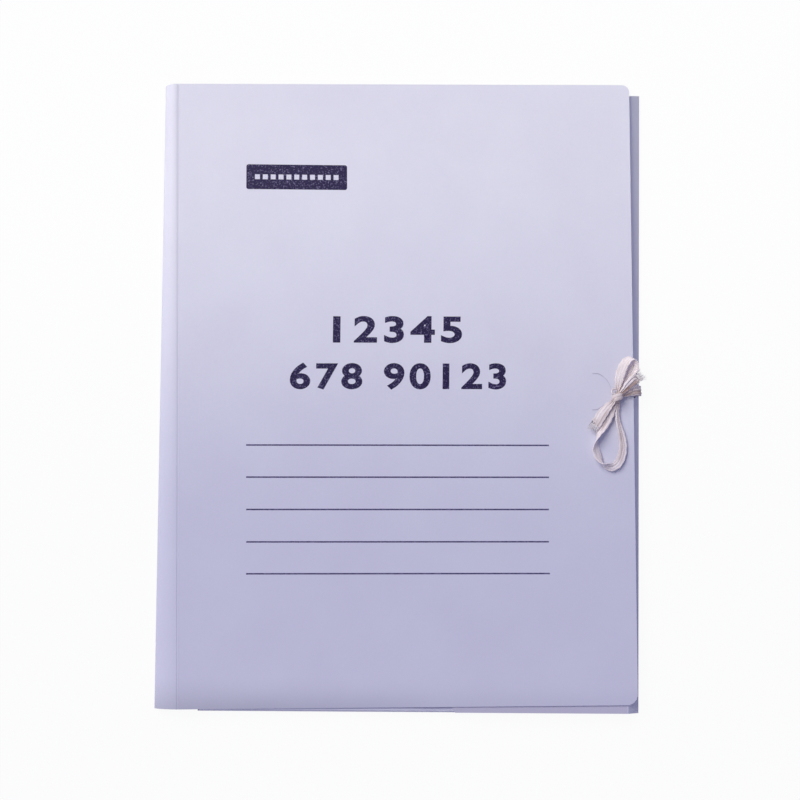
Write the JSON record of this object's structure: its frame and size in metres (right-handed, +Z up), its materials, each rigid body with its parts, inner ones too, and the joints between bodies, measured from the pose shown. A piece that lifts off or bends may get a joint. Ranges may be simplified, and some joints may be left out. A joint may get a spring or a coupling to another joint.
{
  "type": "string tie folder",
  "caption": "Flat card document folder with a rolled spine, a front cover over inner flaps, gussets and a cotton tape bow at the fore edge.",
  "frame": {"origin": "centre of the bounding box at its bottom, the ties left out, on the table under the closed folder", "axes": "+X from the spine towards the fore edge, +Y towards the top edge, +Z up from the back cover"},
  "size_m": [0.2438, 0.3196, 0.014],
  "materials": {
    "coated_card": "satin coated",
    "card_inside": "matt uncoated",
    "cotton_tape": "loose plain weave",
    "paper_patch": "matt"
  },
  "bodies": {
    "back": {"back_cover": "coated_card"},
    "spine": {"spine_panel": "coated_card"},
    "cover": {"front_cover": "coated_card", "front_tie_end": "cotton_tape", "front_tie_patch": "paper_patch", "front_tie_lead": "cotton_tape", "front_tie_loop": "cotton_tape", "front_tie_tail": "cotton_tape", "bow_knot": "cotton_tape"},
    "side_wall": {"side_gusset": "coated_card", "back_tie_lead": "cotton_tape", "back_tie_loop": "cotton_tape", "back_tie_tail": "cotton_tape"},
    "side_leaf": {"side_flap": "card_inside", "back_tie_end": "cotton_tape", "back_tie_patch": "paper_patch"},
    "bottom_wall": {"bottom_gusset": "coated_card"},
    "bottom_leaf": {"bottom_flap": "card_inside"},
    "top_wall": {"top_gusset": "coated_card"},
    "top_leaf": {"top_flap": "card_inside"}
  },
  "joints": [
    {"name": "spine_fold", "type": "hinge", "parent": "back", "child": "spine", "pos_m": [-0.12158, 0, 0.00025], "axis": [0, -1, 0], "range_deg": [0, 95]},
    {"name": "cover_crease", "type": "hinge", "parent": "spine", "child": "cover", "pos_m": [-0.10967, -0.15871, 0.0066], "axis": [0.016, -0.9999, -0.0063], "range_deg": [0, 85.5]},
    {"name": "side_fold", "type": "hinge", "parent": "back", "child": "side_wall", "pos_m": [0.12183, 0, 0.00025], "axis": [0, 1, 0], "range_deg": [0, 121], "deforming": ["back_tie_lead", "back_tie_loop", "back_tie_tail"]},
    {"name": "side_flap_fold", "type": "hinge", "parent": "side_wall", "child": "side_leaf", "pos_m": [0.11561, 0, 0.00605], "axis": [0, 1, 0], "range_deg": [0, 60.3]},
    {"name": "bottom_fold", "type": "hinge", "parent": "back", "child": "bottom_wall", "pos_m": [0, -0.15971, 0.00025], "axis": [1, 0, 0], "range_deg": [0, 58]},
    {"name": "bottom_flap_fold", "type": "hinge", "parent": "bottom_wall", "child": "bottom_leaf", "pos_m": [0, -0.15864, 0.00529], "axis": [1, 0, 0], "range_deg": [0, 34]},
    {"name": "top_fold", "type": "hinge", "parent": "back", "child": "top_wall", "pos_m": [0, 0.15568, 0.00025], "axis": [-1, 0, 0], "range_deg": [0, 58]},
    {"name": "top_flap_fold", "type": "hinge", "parent": "top_wall", "child": "top_leaf", "pos_m": [0, 0.15462, 0.00529], "axis": [-1, 0, 0], "range_deg": [0, 34]}
  ],
  "couplings": [
    {"joint": "cover_crease", "follows": "spine_fold", "ratio": 0.9},
    {"joint": "side_fold", "follows": "spine_fold", "ratio": 1.2737},
    {"joint": "side_flap_fold", "follows": "spine_fold", "ratio": 0.63474},
    {"joint": "bottom_fold", "follows": "spine_fold", "ratio": 0.61053},
    {"joint": "bottom_flap_fold", "follows": "spine_fold", "ratio": 0.35789},
    {"joint": "top_fold", "follows": "spine_fold", "ratio": 0.61053},
    {"joint": "top_flap_fold", "follows": "spine_fold", "ratio": 0.35789}
  ]
}
